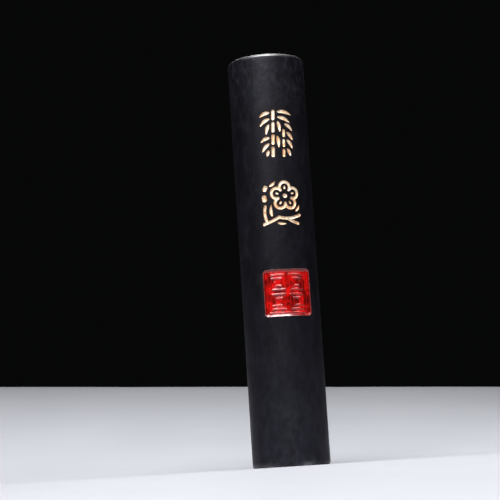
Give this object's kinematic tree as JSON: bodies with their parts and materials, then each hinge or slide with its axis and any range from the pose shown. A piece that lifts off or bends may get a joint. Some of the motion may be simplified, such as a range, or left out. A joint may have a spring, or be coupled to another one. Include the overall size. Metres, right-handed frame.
{
  "type": "round ink stick",
  "caption": "Round black ink stick with a flat foot, gold-filled engraved bamboo and plum ornaments and a recessed red seal with a raised fret.",
  "frame": {"origin": "middle of the flat foot that the stick stands on", "axes": "+Z along the stick from its foot to its top, -Y out of the decorated front, +X to the right as seen from the front"},
  "size_m": [0.023, 0.023, 0.122],
  "materials": {
    "ink": "satin blue-black dried ink",
    "gold_pigment": "brushed-on gold pigment, uneven satin",
    "red_pigment": "glossy red seal pigment"
  },
  "bodies": {
    "root": {"bamboo_cane_1": "gold_pigment", "bamboo_cane_2": "gold_pigment", "bamboo_cane_3": "gold_pigment", "bamboo_leaf_1": "gold_pigment", "bamboo_leaf_10": "gold_pigment", "bamboo_leaf_11": "gold_pigment", "bamboo_leaf_12": "gold_pigment", "bamboo_leaf_13": "gold_pigment", "bamboo_leaf_14": "gold_pigment", "bamboo_leaf_2": "gold_pigment", "bamboo_leaf_3": "gold_pigment", "bamboo_leaf_4": "gold_pigment", "bamboo_leaf_5": "gold_pigment", "bamboo_leaf_6": "gold_pigment", "bamboo_leaf_7": "gold_pigment", "bamboo_leaf_8": "gold_pigment", "bamboo_leaf_9": "gold_pigment", "bamboo_stalk_1": "gold_pigment", "bamboo_stalk_2": "gold_pigment", "bamboo_stalk_3": "gold_pigment", "bamboo_stalk_4": "gold_pigment", "ink_body": "ink", "plum_blossom": "gold_pigment", "plum_branch": "gold_pigment", "plum_bud_1": "gold_pigment", "plum_bud_2": "gold_pigment", "plum_heart": "gold_pigment", "plum_leaf_1": "gold_pigment", "plum_leaf_2": "gold_pigment", "plum_leaf_3": "gold_pigment", "plum_leaf_4": "gold_pigment", "plum_stamen_1": "gold_pigment", "plum_stamen_2": "gold_pigment", "plum_stamen_3": "gold_pigment", "plum_stamen_4": "gold_pigment", "plum_stamen_5": "gold_pigment", "seal_frame": "red_pigment", "seal_fret_bottom_left": "red_pigment", "seal_fret_bottom_right": "red_pigment", "seal_fret_top_left": "red_pigment", "seal_fret_top_right": "red_pigment", "seal_ground": "red_pigment"}
  },
  "joints": []
}
